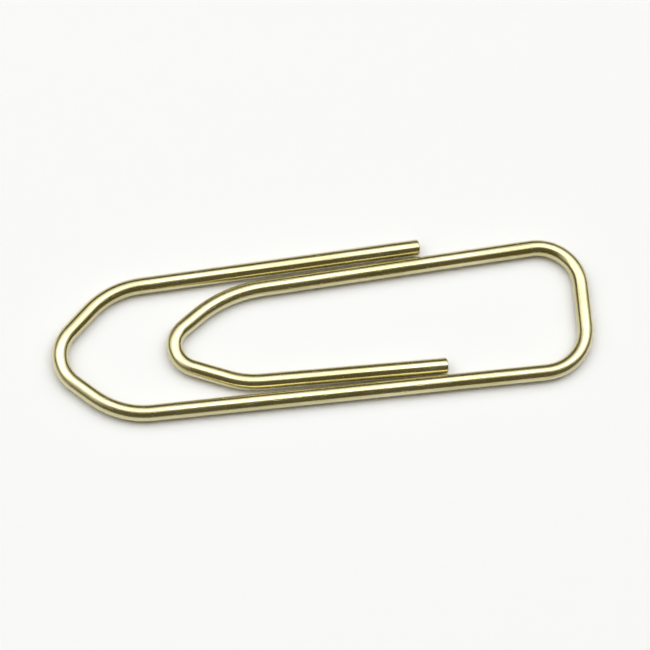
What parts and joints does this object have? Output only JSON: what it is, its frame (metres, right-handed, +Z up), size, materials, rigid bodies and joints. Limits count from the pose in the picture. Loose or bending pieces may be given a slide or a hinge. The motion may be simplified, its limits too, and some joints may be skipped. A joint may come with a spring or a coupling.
{
  "type": "paper clip",
  "caption": "Pointed paper clip bent flat from round brass-coloured wire; an outer loop and a springy tongue lying inside it grip loose sheets between them.",
  "frame": {"origin": "middle of the clip's outline, on the surface that the clip lies on", "axes": "+X from the outer point to the square end, +Y towards the open leg, +Z up out of the clip's plane"},
  "size_m": [0.0314, 0.0094, 0.0009],
  "materials": {
    "plated_wire": "bright brass plating on drawn steel wire"
  },
  "bodies": {
    "outer_loop": {"outer_loop": "plated_wire"},
    "tongue": {"tongue": "plated_wire"}
  },
  "joints": [
    {"name": "tongue_flex", "type": "hinge", "parent": "outer_loop", "child": "tongue", "pos_m": [0.01514, -0.00036, 0.00047], "axis": [0.0767, 0.9971, 0], "range_deg": [0, 10], "stiffness_Nm_per_rad": 0.34}
  ]
}
